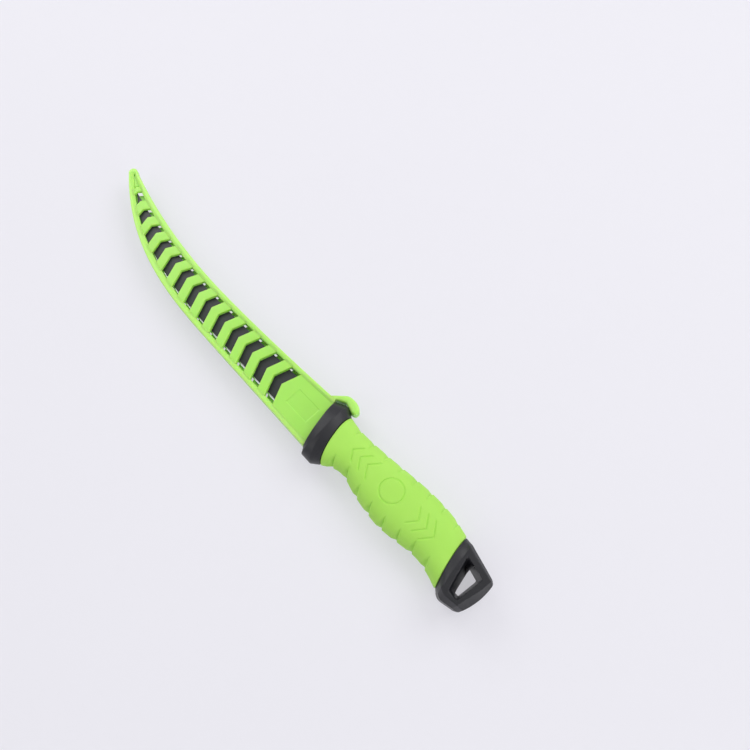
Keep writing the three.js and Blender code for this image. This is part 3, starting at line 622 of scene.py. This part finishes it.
add_piece("blade_body", blade_points, "flat", [coated_steel, ground_steel], "knife",
          ["blade"], 20, [0, 0, 1, 1, 1, 0])

# %% [markdown]
# Behind the heel the same steel runs on as a flat tang with holes. Round each hole goes one closed ring of
# four lines: two rims of the hole and two of a rectangle round it.

# %% Tang
TANG_AXIS, TANG_HEIGHT, TANG_HOLE, TANG_HOLES, TANG_HALF = 3.0, 12.4, 6.0, 3, 0.9
HOLE_STEPS = 64
hole_turn = np.linspace(0, 2 * np.pi, HOLE_STEPS, endpoint=False)
hole_pitch = TANG_LENGTH / (TANG_HOLES + 1)
hole_x = HEEL_X + hole_pitch * np.arange(1, TANG_HOLES + 1)
to_heel = np.where(np.arange(TANG_HOLES) == 0, hole_pitch, hole_pitch / 2)[:, None]
to_end = to_heel[::-1]
reach_x = np.where(np.cos(hole_turn) > 0, to_end, to_heel)
square = 1 / np.maximum(np.abs(np.cos(hole_turn)) / reach_x, np.abs(np.sin(hole_turn)) / (TANG_HEIGHT / 2))
hole = np.full_like(square, TANG_HOLE / 2)
tang_radius = np.stack([hole, square, square, hole], 1)
tang_z = np.array([1, 1, -1, -1])[:, None] * TANG_HALF
tang_points = np.stack(np.broadcast_arrays(
    hole_x[:, None, None] + tang_radius * np.cos(hole_turn),
    TANG_AXIS + tang_radius * np.sin(hole_turn), tang_z), -1)
add_piece("blade_tang", tang_points, "joined", [coated_steel], "knife", (), 20)

# %% [markdown]
# ## The sheath's outline
# The sheath follows the blade at a set distance, so its two sides are the blade's own curves moved
# sideways along their normals, and a half circle closes the nose. The same function with a larger inset
# gives the inside of the rim. Its thickness tapers evenly from the mouth to the nose.

# %% Sheath outline
SHEATH_THICKNESS, SHEATH_NOSE_THICKNESS = 11.0, 5.6
RIM_WIDTH = 2.4
PANEL_DROP = 0.85
NOSE_X = TIP_X - 10
NOSE_WALL = 0.4  # how fast an inset line falls back at the nose
BEAD_CROWN, BEAD_FOOT = 1.9, 3.3  # the bead's flat top and its foot, in from the outside
BEAD_WIDER, WIDER_FROM, WIDER_TO = 1.25, -70, -150  # it grows along the sheath, between these X
# The two sides, spine 1 and edge -1: the blade's curve, the room beside it at the mouth and at the point,
# and how the bead gets slimmer near the nose: shares left of its crown and foot, and over what length.
SIDES = {1: (spine_height, (2.3, 3.4), (0.6, 0.6, 25)), -1: (edge_height, (3.4, 1.0), (0.5, 0.8, 55))}
MOUTH_X = HEEL_X
NOSE_ROOM, NOSE_ROOM_POWER = 0.4, 10


def taper(x):
    """Thickness of the sheath at x as a share of the mouth's."""
    return mix(1, SHEATH_NOSE_THICKNESS / SHEATH_THICKNESS, (MOUTH_X - x) / (MOUTH_X - NOSE_X))


def beside(height, x, distance):
    """The point at a distance square to a height curve."""
    slope = (height(x + 0.1) - height(x - 0.1)) / 0.2
    along = np.hypot(1, slope)
    return np.stack([x - distance * slope / along, height(x) + distance / along], -1)


def sheath_side(side, x, wall):
    """One side of the blade, moved out by its room and the wall. The room runs evenly from mouth to
    point, and a little more opens at the nose."""
    height, ends, _ = SIDES[side]
    share = (HEEL_X - x) / BLADE_LENGTH
    room = mix(*ends, share) + NOSE_ROOM * share**NOSE_ROOM_POWER
    return beside(height, x, side * (room + wall))


def side_line(side, x, inset):
    """Plan points of one side at an inset from its outside. An inset grows with the bead along the
    sheath and shrinks over the last stretch, where the real rim gets slimmer."""
    crown, foot, length = SIDES[side][2]
    narrow = np.interp(inset, [BEAD_CROWN, BEAD_FOOT], [crown, foot])
    near_nose = np.clip(1 - (x - NOSE_X) / length, 0, 1)
    grown = np.clip((WIDER_FROM - x) / (WIDER_FROM - WIDER_TO), 0, 1)
    wider = mix(1, BEAD_WIDER, grown)
    return sheath_side(side, x, RIM_WIDTH - inset * mix(1, narrow, near_nose) * wider)


def sheath_outline(inset, steps=240, nose_steps=24):
    """Spine side, half circle round the nose, edge side, as one open run of plan points."""
    end_x = NOSE_X + inset * NOSE_WALL
    sides = []
    for side in SIDES:
        start = np.array(MOUTH_X)
        for _ in range(4):
            start = MOUTH_X - MOUTH_RAKE * sheath_side(side, start, RIM_WIDTH - inset)[..., 1]
        sides.append(side_line(side, mix(start, end_x, np.linspace(0, 1, steps)), inset))
    spine, edge = sides
    centre, radius = (spine[-1] + edge[-1]) / 2, (spine[-1] - edge[-1]) / 2
    turn = np.linspace(0, np.pi, nose_steps)[1:-1, None]
    square = np.array([-radius[1], radius[0]])
    nose = centre + radius * np.cos(turn) + square * np.sin(turn)
    return np.concatenate([spine, nose, edge[::-1]])


def section_loop(flat_steps=2, round_steps=5):
    """A rounded bar's section, going round: corner centres across and up, and ways from them."""
    arc = np.linspace(0, np.pi / 2, round_steps)
    flat = np.linspace(1, -1, flat_steps + 2)[1:-1]
    one, none = np.ones(round_steps), np.zeros(flat_steps)
    c, s = np.cos(arc), np.sin(arc)
    return [np.concatenate(parts) for parts in (
        (one, flat, -one, -one, one), (one, none + 1, one, -one, -one),
        (c, none, -s, -c, s), (s, none + 1, c, -s, -c))]


def bar(side_a, side_b, low, high, rounding, flat_steps=2, draft=(0, 0)):
    """A rounded bar between two plan lines, from low to high; its section turns with the lines.
    draft widens each flank at low and at high, as a mould needs to let the part go."""
    centre_u, centre_z, way_u, way_z = section_loop(flat_steps)
    middle, across = (side_a + side_b) / 2, side_a - side_b
    width = np.hypot(across[..., 0], across[..., 1])[..., None]
    unit = across / np.maximum(width, 1e-6)
    r = np.minimum(rounding, width / 2.2)
    widened = np.where(centre_z > 0, draft[1], draft[0])
    u = centre_u * (width / 2 - r + widened) + way_u * r
    plan = middle[..., None, :] + unit[..., None, :] * u[..., None]
    thin = taper(plan[..., 0])
    half = (high - low) / 2 * thin
    z = (high + low) / 2 * thin + centre_z * (half - r) + way_z * r
    return np.concatenate([plan, z[..., None]], -1)


# %% [markdown]
# ## The rim
# Round both faces the wall stands up as a bead, with a soft crown and a foot that slopes down to the
# panels. Between the faces the same wall is hollowed for the blade. That section is a closed profile in
# two sizes: how far in from the outside, and how high. Averaging it over a short length rounds its
# corners, and carrying it along the outline makes the whole rim.

# %% Rim
PANEL_TOP, PANEL_UNDER = SHEATH_THICKNESS / 2 - PANEL_DROP, 1.7
RIM_DRAFT, RIM_ROUND = 0.2, 0.5
FOOT_SINK = 0.25  # the bead's foot ends this far under the panels' tops


def run_length(run):
    """Distance along a run of plan points, from its first."""
    return np.concatenate([[0], np.hypot(*np.diff(run, axis=0).T).cumsum()])


def rounded_loop(corners, rounding, steps):
    """A closed run of straight lines, averaged over rounding to either side, as evenly spaced points."""
    loop = np.array(corners + corners[:1], float)
    length = run_length(loop)
    at = np.linspace(0, length[-1], steps, endpoint=False)[:, None] + np.linspace(-rounding, rounding, 15)
    return np.stack([np.interp(at % length[-1], length, loop[:, k]).mean(-1) for k in (0, 1)], -1)


upper_profile = [
    (0, 0), (RIM_DRAFT, SHEATH_THICKNESS / 2), (BEAD_CROWN, SHEATH_THICKNESS / 2),
    (BEAD_FOOT, PANEL_TOP - FOOT_SINK), (BEAD_FOOT, PANEL_UNDER), (RIM_WIDTH, PANEL_UNDER), (RIM_WIDTH, 0)]
rim_profile = rounded_loop(upper_profile + [(u, -z) for u, z in upper_profile[-2:0:-1]], RIM_ROUND, 112)
rim_plan = np.stack([sheath_outline(inset) for inset in rim_profile[:, 0]], 1)
rim_z = rim_profile[:, 1] * taper(rim_plan[..., 0])
rim_points = np.concatenate([rim_plan, rim_z[..., None]], -1)
# The bead's colour is a painted highlight, a shade lighter than the panels.
add_piece("sheath_rim", rim_points, "flat", [polished_polypropylene_painted_highlight], "sheath",
          ["sheath"], 40)

# %% [markdown]
# ## Chevron ribs and mouth panels
# The two faces of the sheath are rows of chevron ribs with windows between them. The rows are half a
# pitch apart, so that each window faces a rib: that is how a simple two-part mould can form a hollow
# sheath in one shot. A rib is a rounded bar between two chevron lines, and each arm of a line runs on
# until it is buried in the rim, which a bisection finds for all ribs at once.

# %% Chevron ribs
WINDOW_COUNT, WINDOW_PITCH, WINDOW_LENGTH, WINDOW_START = 14, 13, 7.0, 37
SWEEP_SPINE, SWEEP_EDGE = np.tan(np.radians([18, 24]))
SWEEP_GAIN, GAIN_FROM = 0.0024, -95  # the edge-side arms lean back more towards the nose
APEX_ROUND = 0.18
RIB_ROUND, RIB_DRAFT = 0.32, 0.35
RIB_TOPS = {1: (6.05, 6.6), -1: (5.2, 4.6)}  # the ribs' flat tops from mouth to nose, above and below
LAST_RIB_TOP, LAST_RIB_EARLY = 3.7, 1.1
FILLET_RADIUS, FILLET_START, FILLET_SWEEP = 0.9, 0.24, 0.79  # the sweep is the sine of the bead's slope
APEX_LIFT, LIFT_FROM, LIFT_LENGTH, LIFT_POWER = 2.0, -30, 162, 1.25
DRIFT, DRIFT_FALL, DRIFT_MIDDLE = 0.9, 0.00028, -105

# Each face: its side, its name, where its first window lies and how many it has.
FACES = ((1, "upper", WINDOW_START, WINDOW_COUNT),
         (-1, "lower", WINDOW_START + WINDOW_PITCH / 2, WINDOW_COUNT - 1))

rim_x = np.linspace(NOSE_X, 6, 900)
rim_lines, foot_lines = (
    {side: side_line(side, rim_x, inset) for side in SIDES} for inset in (RIM_WIDTH / 2, BEAD_FOOT))


def rim_fillet(plan):
    """How far a face rises to meet the rim: a round from inside the bead's foot to its slope."""
    x, y = plan[..., 0], plan[..., 1]
    inside = np.minimum(*(sign * (np.interp(x, *foot_lines[sign].T) - y) for sign in (1, -1)))
    near = np.clip(FILLET_START - inside, 0, FILLET_SWEEP * FILLET_RADIUS)
    return (FILLET_RADIUS - np.sqrt(FILLET_RADIUS**2 - near**2)) * taper(x)


def face_bar(face, side_a, side_b, flat_steps=2, draft=0):
    """A bar of one face, from under the panels to their tops; its outer side rises to meet the rim."""
    low, high = sorted((face * PANEL_UNDER, face * PANEL_TOP))
    points = bar(side_a, side_b, low, high, RIB_ROUND, flat_steps, (draft, 0) if face > 0 else (0, draft))
    outer = section_loop(flat_steps)[1] * face > 0
    points[..., 2] += face * rim_fillet(points[..., :2]) * outer
    return points


def middle_line(x):
    """Half way between the two sides."""
    return (sheath_side(1, x, 0) + sheath_side(-1, x, 0)) / 2


def chevron_line(distance, forward, across_share):
    """Plan points of chevrons at distances from the mouth, moved forward towards the nose.
    across_share runs from -1 at the edge-side rim to 1 at the spine-side rim. The points of the chevrons
    swing towards the spine in the middle of the sheath, and the row drifts a little along it."""
    x = MOUTH_X - np.asarray(distance, float)
    lift = APEX_LIFT * np.sin(np.pi * np.clip((LIFT_FROM - x) / LIFT_LENGTH, 0, 1) ** LIFT_POWER)[..., None]
    drift = DRIFT - DRIFT_FALL * (x - DRIFT_MIDDLE)[..., None] ** 2
    centre = middle_line(x)
    along = middle_line(x - 1) - centre
    along = along / np.hypot(along[..., 0], along[..., 1])[..., None]
    across = np.stack([along[..., 1], -along[..., 0]], -1)
    start = centre + along * (forward + drift) + across * lift
    edge_sweep = SWEEP_EDGE + SWEEP_GAIN * np.clip(GAIN_FROM - x, 0, None)[..., None]
    points = 0
    for sign, sweep in ((1, SWEEP_SPINE), (-1, edge_sweep)):
        def arm(side):
            """Points this far to the side of the chevron's point, set back by the sweep."""
            back = (np.hypot(side, APEX_ROUND) - APEX_ROUND) * sweep
            return (start[..., None, :] - along[..., None, :] * back[..., None]
                    + across[..., None, :] * (sign * side)[..., None])

        near, far = np.zeros(x.shape + (1,)), np.full(x.shape + (1,), 40.0)
        for _ in range(40):
            half_way = (near + far) / 2
            at = arm(half_way)
            inside = sign * (np.interp(at[..., 0], *rim_lines[sign].T) - at[..., 1]) > 0
            near, far = np.where(inside, half_way, near), np.where(inside, far, half_way)
        used = (np.sign(across_share) == sign) | ((across_share == 0) & (sign == 1))
        points = points + arm(near * np.abs(across_share)) * used[:, None]
    return points


across_share = np.linspace(-1, 1, 121)
for face, name, start, windows in FACES:
    ribs = start + (np.arange(windows - 1) + 0.5) * WINDOW_PITCH
    rib_tops = mix(*RIB_TOPS[face], ribs / ribs.max())
    if face > 0:
        rib_tops[-1] = LAST_RIB_TOP
        ribs[-1] -= LAST_RIB_EARLY
    half_rib = rib_tops[:, None] / 2
    nose_side = chevron_line(ribs, half_rib, across_share)
    mouth_side = chevron_line(ribs, -half_rib, across_share)
    rib_points = face_bar(face, nose_side, mouth_side, draft=RIB_DRAFT)
    add_piece(f"sheath_ribs_{name}", rib_points, "flat", [satin_polypropylene], "sheath")

# %% [markdown]
# Between the mouth and the first window each face is a plain panel. It is the same bar, from the mouth's
# slanted line to the first chevron, with many more points on its upper side, so that the shallow
# rectangle sunk into the upper panel is real shape. On the lower face a plate closes the nose.

# %% Mouth panels and nose plate
FRAME_LOW, FRAME_HIGH = np.array([-28.5, -4.1]), np.array([-11.3, 6.7])
FRAME_SUNK, FRAME_EDGE = 0.28, 0.5
PANEL_STEPS = 110
MOUTH_REACH = (4.6, 3.5)  # the mouth's ends past the blade, edge side and spine side
NOSE_PLATE_EARLY = 1.4  # the lower face's last window stops short, so that the nose pocket has a floor
NOSE_PLATE_END = 0.5    # the plate runs this far past the sides, into the round of the rim
NOSE_PLATE_TOP = 3.0    # and it is thick, because no blade reaches it


def sunk_frame(plan):
    """Depth of the sunk rectangle: full inside, fading to nothing over its soft edge."""
    inside = np.minimum(plan - FRAME_LOW, FRAME_HIGH - plan).min(-1)
    share = np.clip(inside / FRAME_EDGE + 0.5, 0, 1)
    return FRAME_SUNK * share * share * (3 - 2 * share)


def mouth_line(across_share):
    """Plan points of the slanted mouth, from the edge-side rim to the spine-side rim."""
    low, high = edge_height(MOUTH_X) - MOUTH_REACH[0], spine_height(MOUTH_X) + MOUTH_REACH[1]
    y = mix(low, high, (across_share + 1) / 2)
    return np.stack([MOUTH_X - MOUTH_RAKE * y, y], -1)


panel_across = np.linspace(-1, 1, 161)
for face, name, start, windows in FACES:
    window_side = chevron_line([start - WINDOW_LENGTH / 2], 0, panel_across)[0]
    panel = face_bar(face, mouth_line(panel_across), window_side, PANEL_STEPS)
    if face > 0:
        panel[..., 2] -= sunk_frame(panel[..., :2]) * np.isclose(section_loop(PANEL_STEPS)[3], 1)
    add_piece(f"sheath_panel_{name}", panel, "flat", [satin_polypropylene], "sheath")

last_window = WINDOW_START + (WINDOW_COUNT - 1.5) * WINDOW_PITCH + NOSE_PLATE_EARLY
plate_back = chevron_line([last_window], 0, across_share)[0]
plate_front = chevron_line([MOUTH_X - NOSE_X + NOSE_PLATE_END], 0, across_share)[0]
nose_plate = bar(plate_front, plate_back, -PANEL_TOP, NOSE_PLATE_TOP, RIB_ROUND)
add_piece("sheath_nose_plate", nose_plate, "flat", [satin_polypropylene], "sheath")

# %% [markdown]
# ## The catch
# A thumb tab grows out of the rim, bends over the bolster's ridge and drops a rounded knob behind it.
# Its outline is a closed curve through a few points of the real tab, and the slab between its two faces
# is rounded over at the edges.

# %% Catch
ROUND_PLACES, CATCH_ROUNDS = [-12, -8, -3.5, 1.5], [0.4, 1.1, 1.1, 1.7]  # along X: foot, arm and knob
INNER_ROUND = 1.9        # the arm slopes more towards the bolster
INNER_FROM = (-9, 22.5)  # past this X and below this Y
INNER_LENGTH = 2         # and grows to its full round over this length
CATCH_STEPS = 160
CATCH_OUTLINE = [
    (-14.6, 15.8), (-13.1, 17.3), (-10.3, 20.2), (-7.0, 23.7), (-4.8, 25.1), (-1.6, 25.6), (1.9, 25.3),
    (4.6, 24.0), (5.6, 22.4), (5.4, 20.6), (4.3, 19.5), (2.5, 19.2), (0.5, 19.7), (-1.2, 20.2),
    (-2.6, 20.6), (-3.7, 20.8), (-4.9, 20.3), (-6.7, 19.3), (-8.6, 18.4), (-9.0, 17.6), (-10.0, 15.6)]


def closed_curve(points, steps):
    """A closed cubic curve through the points, then spread evenly along its length."""
    p = np.array(points, float)
    t = np.linspace(0, len(p), 40 * len(p), endpoint=False)
    i, w = t.astype(int), (t % 1)[:, None]
    curve = cubic(*(p[(i + k) % len(p)] for k in (-1, 0, 1, 2)), w)
    loop = np.vstack([curve, curve[:1]])
    length = run_length(loop)
    even = np.linspace(0, length[-1], steps, endpoint=False)
    return np.column_stack([np.interp(even, length, loop[:, k]) for k in (0, 1)])


catch_low, catch_high = (np.array(corner)[2] * 1000 - DATUM[2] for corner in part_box("sheath_catch"))
catch_line = closed_curve(CATCH_OUTLINE, CATCH_STEPS)
tangent = np.roll(catch_line, -1, 0) - np.roll(catch_line, 1, 0)
outward = np.column_stack([-tangent[:, 1], tangent[:, 0]]) / np.hypot(*tangent.T)[:, None]
round_turn = np.linspace(0, np.pi / 2, 9)[:, None]
line_x, line_y = catch_line.T
inner = np.clip((line_x - INNER_FROM[0]) / INNER_LENGTH, 0, 1) * np.clip(INNER_FROM[1] - line_y, 0, 1)
rounding = mix(np.interp(line_x, ROUND_PLACES, CATCH_ROUNDS), INNER_ROUND, inner)
row_inset = rounding * np.concatenate([1 - np.sin(round_turn), 1 - np.cos(round_turn)])
row_z = np.concatenate([catch_low + rounding * (1 - np.cos(round_turn)),
                        catch_high - rounding * (1 - np.sin(round_turn))])
catch_plan = catch_line - outward * row_inset[..., None]
catch_points = np.concatenate([catch_plan, row_z[..., None]], -1)
# The tab shares the bead's painted highlight, a shade lighter than the panels.
add_piece("catch_tab", catch_points, "flat", [polished_polypropylene_painted_highlight], "catch",
          ["sheath_catch"], 50)

# %% [markdown]
# ## The hidden core
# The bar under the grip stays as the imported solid; nothing shows it, but it gets its nylon all the same.

# %% Core finish
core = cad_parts["handle_core"]
core.data.materials.clear()
core.data.materials.append(black_nylon)
print("core finish:", black_nylon.name)

# %% [markdown]
# ## The floor
# The knife lies in a pale paper bowl: a flat floor whose edge curves up into a wall, as in a photo studio,
# so no horizon shows from any side. Seen directly or in a reflection, the paper also glows as if lit from
# below; the light that it throws on the knife is that of plain matt paper.

# %% Floor
FLOOR_RADIUS, COVE_RADIUS, WALL_HEIGHT = 1.7, 0.8, 2.2
PAPER_GLOW = 0.6      # how far the paper is lit from below, which lightens every shadow on it
PAPER_DRIFT_MM = 300  # its tone drifts a little over this length
BOWL_STEPS = 96
cove = np.linspace(0, np.pi / 2, 13)
bowl_radius = np.append(FLOOR_RADIUS + COVE_RADIUS * np.sin(cove), FLOOR_RADIUS + COVE_RADIUS)
bowl_z = np.append(COVE_RADIUS * (1 - np.cos(cove)), WALL_HEIGHT)
bowl_turn = np.linspace(0, 2 * np.pi, BOWL_STEPS, endpoint=False)
bowl = np.stack([
    np.outer(bowl_radius, np.cos(bowl_turn)), np.outer(bowl_radius, np.sin(bowl_turn)),
    np.outer(bowl_z, np.ones(BOWL_STEPS))], -1)
bowl_faces = grid_faces(*bowl.shape[:2], False)[:, ::-1].tolist() + [list(range(BOWL_STEPS))]
floor_mesh = bpy.data.meshes.new("floor")
floor_mesh.from_pydata(bowl.reshape(-1, 3).tolist(), [], bowl_faces)
floor_mesh.shade_smooth()
floor = link_object("floor", floor_mesh)
paper, paper_tree, paper_place = new_finish("matt_background_paper")
tooth = add_node(paper_tree, "ShaderNodeTexNoise", {
    "Vector": paper_place, "Scale": per_metre(PAPER_DRIFT_MM), "Detail": 2.0})
paper_colour = blend(paper_tree, tooth, "#ecebf1", "#eeedf3")
paper_shader = add_node(paper_tree, "ShaderNodeBsdfPrincipled", {
    "Base Color": paper_colour, "Roughness": 0.9, "Specular IOR Level": 0.2})
paper_glow = add_node(paper_tree, "ShaderNodeEmission", {"Color": paper_colour, "Strength": 1.0})
seen = add_node(paper_tree, "ShaderNodeLightPath").outputs
glow_share = seen["Is Camera Ray"]
for kind, value in (
        ("ADD", seen["Is Glossy Ray"]), ("ADD", seen["Is Transmission Ray"]), ("MULTIPLY", PAPER_GLOW)):
    glow_share = add_node(paper_tree, "ShaderNodeMath", {
        0: glow_share, 1: value}, operation=kind, use_clamp=True).outputs["Value"]
paper_mix = add_node(paper_tree, "ShaderNodeMixShader", {
    0: glow_share, 1: paper_shader.outputs["BSDF"], 2: paper_glow.outputs["Emission"]})
close_finish(paper_tree, paper_mix.outputs["Shader"])
floor_mesh.materials.append(paper)
print("floor radius, m:", FLOOR_RADIUS)

# %% [markdown]
# ## Light and camera
# Four soft boxes stand round the knife, the strongest on the spine's side, and the world fills evenly. The
# camera looks steeply down, from the butt's side.

# %% Light
WORLD_LIGHT = 0.42
world = bpy.data.worlds.new("soft_room")
world.use_nodes = True
background = world.node_tree.nodes["Background"].inputs
background["Color"].default_value = srgb("#fbfbff")
background["Strength"].default_value = WORLD_LIGHT
bpy.context.scene.world = world


def add_lamp(name, place, size, watts):
    """A square soft box at a place in metres, aimed at the middle of the knife."""
    lamp = bpy.data.lights.new(name, "AREA")
    lamp.shape = "SQUARE"
    lamp.size = size
    lamp.energy = watts
    made = link_object(name, lamp)
    made.location = place
    made.rotation_euler = (-Vector(place)).to_track_quat("-Z", "Y").to_euler()
    print(f"{name}: {watts} W")


add_lamp("spine_side_soft_box", (0.15, 0.8, 0.9), 0.8, 5.8)
add_lamp("nose_side_soft_box", (-0.8, 0.15, 0.8), 0.6, 3.9)
add_lamp("edge_side_soft_box", (-0.2, -0.8, 0.9), 0.8, 2.1)
add_lamp("butt_side_soft_box", (1.0, 0.1, 0.36), 0.6, 2.4)

# %% Camera
CAMERA_PLACE = np.array([90.8, -44.3, 420.7])
CAMERA_TARGET = np.array([-5.7, 45.9, 0.0])
SENSOR_MM, LENS_MM = 36, 35.4
camera_data = bpy.data.cameras.new("camera")
camera_data.sensor_width = SENSOR_MM
camera_data.lens = LENS_MM
camera_data.clip_start = 0.01
camera = link_object("camera", camera_data)
camera.location = metres(CAMERA_PLACE)
camera.rotation_euler = Vector(CAMERA_TARGET - CAMERA_PLACE).to_track_quat("-Z", "Y").to_euler()
bpy.context.scene.camera = camera
bpy.context.scene.view_settings.view_transform = "Standard"
print("camera, mm:", CAMERA_PLACE)
